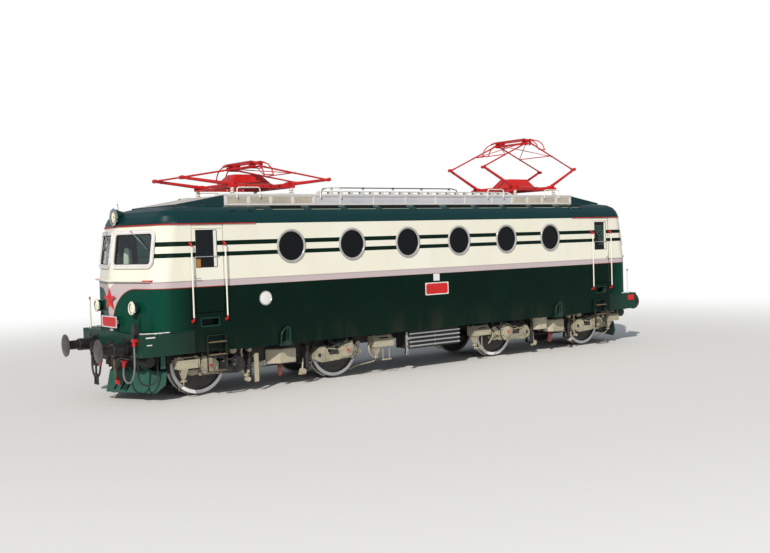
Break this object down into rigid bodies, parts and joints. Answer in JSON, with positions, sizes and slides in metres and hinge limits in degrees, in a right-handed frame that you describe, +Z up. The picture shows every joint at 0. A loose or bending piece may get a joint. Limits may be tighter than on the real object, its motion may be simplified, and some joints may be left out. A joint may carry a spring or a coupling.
{
  "type": "electric locomotive",
  "caption": "Four-axle electric locomotive with a cab at each end, round side windows, V ploughs and two diamond pantographs",
  "frame": {"origin": "middle of the footprint, at the lowest point of the wheel flanges", "axes": "+X along the length, away from the pictured cab; +Z up; the pictured side faces -Y"},
  "size_m": [15.74, 3.19, 5.5657],
  "materials": {
    "black_steel": "satin",
    "body_green": "satin",
    "bogie_beige": "satin",
    "bogie_grey": "satin",
    "cable_grey": "matt",
    "coupling_red": "satin",
    "cream": "satin",
    "dark_glass": "clear",
    "hose_black": "matt",
    "hose_tan": "matt",
    "interior": "matt",
    "lamp_green": "gloss",
    "pan_red": "satin",
    "porcelain": "gloss",
    "rail_white": "gloss",
    "roof_green": "satin",
    "wheel_steel": "satin",
    "white_paint": "satin"
  },
  "bodies": {
    "body": {"buffers": "black_steel", "cab_front_1": "body_green", "cab_front_2": "body_green", "cab_interiors": "interior", "corner_hose": "hose_black", "draw_hooks": "bogie_grey", "far_brake_hose": "hose_black", "far_hose_head": "coupling_red", "front_fittings": "black_steel", "glazing": "dark_glass", "handrails": "rail_white", "headlamps": "lamp_green", "headstocks": "body_green", "heating_cable": "cable_grey", "heating_plug": "coupling_red", "ladders": "body_green", "machine_room_block": "bogie_grey", "midship_equipment": "bogie_beige", "near_brake_hose": "hose_tan", "near_hose_head": "coupling_red", "pantograph_bases": "pan_red", "ploughs": "body_green", "roof": "roof_green", "roof_clerestory": "cream", "roof_insulators": "porcelain", "roof_walkway": "roof_green", "side_bearers": "body_green", "side_walls": "body_green", "underframe": "bogie_grey", "window_frames": "white_paint"},
    "bogie_1": {"bogie_1_frame": "bogie_grey", "bogie_1_axleboxes": "bogie_beige", "bogie_1_motors": "bogie_grey", "bogie_1_sandboxes": "bogie_beige"},
    "bogie_2": {"bogie_2_frame": "bogie_grey", "bogie_2_axleboxes": "bogie_beige", "bogie_2_motors": "bogie_grey", "bogie_2_sandboxes": "bogie_beige"},
    "wheelset_1": {"wheelset_1": "wheel_steel"},
    "wheelset_2": {"wheelset_2": "wheel_steel"},
    "wheelset_3": {"wheelset_3": "wheel_steel"},
    "wheelset_4": {"wheelset_4": "wheel_steel"},
    "door_1_near": {"door_1_near": "body_green", "door_1_near_glass": "dark_glass"},
    "door_1_far": {"door_1_far": "body_green", "door_1_far_glass": "dark_glass"},
    "door_2_near": {"door_2_near": "body_green", "door_2_near_glass": "dark_glass"},
    "door_2_far": {"door_2_far": "body_green", "door_2_far_glass": "dark_glass"},
    "pan_1_lower_a": {"pantograph_1_lower_a": "pan_red"},
    "pan_1_lower_b": {"pantograph_1_lower_b": "pan_red"},
    "pan_1_upper_a": {"pantograph_1_upper_a": "pan_red"},
    "pan_1_upper_b": {"pantograph_1_upper_b": "pan_red"},
    "pan_1_head": {"pantograph_1_head": "pan_red"},
    "pan_2_lower_a": {"pantograph_2_lower_a": "pan_red"},
    "pan_2_lower_b": {"pantograph_2_lower_b": "pan_red"},
    "pan_2_upper_a": {"pantograph_2_upper_a": "pan_red"},
    "pan_2_upper_b": {"pantograph_2_upper_b": "pan_red"},
    "pan_2_head": {"pantograph_2_head": "pan_red"}
  },
  "joints": [
    {"name": "bogie_1_yaw", "type": "hinge", "parent": "body", "child": "bogie_1", "pos_m": [-4.1, 0, 0.928], "axis": [0, 0, 1], "range_deg": [-3, 3]},
    {"name": "bogie_2_yaw", "type": "hinge", "parent": "body", "child": "bogie_2", "pos_m": [4.1, 0, 0.928], "axis": [0, 0, 1], "range_deg": [-3, 3]},
    {"name": "wheelset_1_spin", "type": "hinge", "parent": "bogie_1", "child": "wheelset_1", "pos_m": [-5.765, 0, 0.653], "axis": [0, 1, 0], "continuous": true},
    {"name": "wheelset_2_spin", "type": "hinge", "parent": "bogie_1", "child": "wheelset_2", "pos_m": [-2.435, 0, 0.653], "axis": [0, 1, 0], "continuous": true},
    {"name": "wheelset_3_spin", "type": "hinge", "parent": "bogie_2", "child": "wheelset_3", "pos_m": [2.435, 0, 0.653], "axis": [0, 1, 0], "continuous": true},
    {"name": "wheelset_4_spin", "type": "hinge", "parent": "bogie_2", "child": "wheelset_4", "pos_m": [5.765, 0, 0.653], "axis": [0, 1, 0], "continuous": true},
    {"name": "door_1_near_swing", "type": "hinge", "parent": "body", "child": "door_1_near", "pos_m": [-5.461, -1.435, 2.568], "axis": [0, 0, -1], "range_deg": [0, 85]},
    {"name": "door_1_far_swing", "type": "hinge", "parent": "body", "child": "door_1_far", "pos_m": [-5.461, 1.435, 2.568], "axis": [0, 0, 1], "range_deg": [0, 85]},
    {"name": "door_2_near_swing", "type": "hinge", "parent": "body", "child": "door_2_near", "pos_m": [5.461, -1.435, 2.568], "axis": [0, 0, 1], "range_deg": [0, 85]},
    {"name": "door_2_far_swing", "type": "hinge", "parent": "body", "child": "door_2_far", "pos_m": [5.461, 1.435, 2.568], "axis": [0, 0, -1], "range_deg": [0, 85]},
    {"name": "pan_1_raise", "type": "hinge", "parent": "body", "child": "pan_1_lower_a", "pos_m": [-4.762, 0, 4.276], "axis": [0, 1, 0], "range_deg": [0, 43.5]},
    {"name": "pan_1_lower_b_turn", "type": "hinge", "parent": "body", "child": "pan_1_lower_b", "pos_m": [-3.438, 0, 4.276], "axis": [0, 1, 0], "range_deg": [-43.7, 0.2]},
    {"name": "pan_1_knee_a", "type": "hinge", "parent": "pan_1_lower_a", "child": "pan_1_upper_a", "pos_m": [-5.88573, 0, 4.40403], "axis": [0, 1, 0], "range_deg": [-75.08, 0.3]},
    {"name": "pan_1_knee_b", "type": "hinge", "parent": "pan_1_lower_b", "child": "pan_1_upper_b", "pos_m": [-2.31427, 0, 4.40403], "axis": [0, 1, 0], "range_deg": [-0.3, 75.08]},
    {"name": "pan_1_head_level", "type": "hinge", "parent": "pan_1_upper_a", "child": "pan_1_head", "pos_m": [-4.18, 0, 4.67425], "axis": [0, 1, 0], "range_deg": [-0.3, 31.58]},
    {"name": "pan_2_raise", "type": "hinge", "parent": "body", "child": "pan_2_lower_a", "pos_m": [3.438, 0, 4.276], "axis": [0, 1, 0], "range_deg": [-20.1, 23.4]},
    {"name": "pan_2_lower_b_turn", "type": "hinge", "parent": "body", "child": "pan_2_lower_b", "pos_m": [4.762, 0, 4.276], "axis": [0, 1, 0], "range_deg": [-23.6, 20.3]},
    {"name": "pan_2_knee_a", "type": "hinge", "parent": "pan_2_lower_a", "child": "pan_2_upper_a", "pos_m": [2.42671, 0, 4.78242], "axis": [0, 1, 0], "range_deg": [-41.39, 35.6]},
    {"name": "pan_2_knee_b", "type": "hinge", "parent": "pan_2_lower_b", "child": "pan_2_upper_b", "pos_m": [5.77329, 0, 4.78242], "axis": [0, 1, 0], "range_deg": [-35.6, 41.39]},
    {"name": "pan_2_head_level", "type": "hinge", "parent": "pan_2_upper_a", "child": "pan_2_head", "pos_m": [4.02, 0, 5.44872], "axis": [0, 1, 0], "range_deg": [-15.5, 17.99]}
  ],
  "couplings": [
    {"joint": "pan_1_lower_b_turn", "follows": "pan_1_raise", "ratio": -1},
    {"joint": "pan_1_knee_a", "follows": "pan_1_raise", "ratio": -1.719},
    {"joint": "pan_1_knee_b", "follows": "pan_1_raise", "ratio": 1.719},
    {"joint": "pan_1_head_level", "follows": "pan_1_raise", "ratio": 0.719},
    {"joint": "pan_2_lower_b_turn", "follows": "pan_2_raise", "ratio": -1},
    {"joint": "pan_2_knee_a", "follows": "pan_2_raise", "ratio": -1.756},
    {"joint": "pan_2_knee_b", "follows": "pan_2_raise", "ratio": 1.756},
    {"joint": "pan_2_head_level", "follows": "pan_2_raise", "ratio": 0.756}
  ]
}
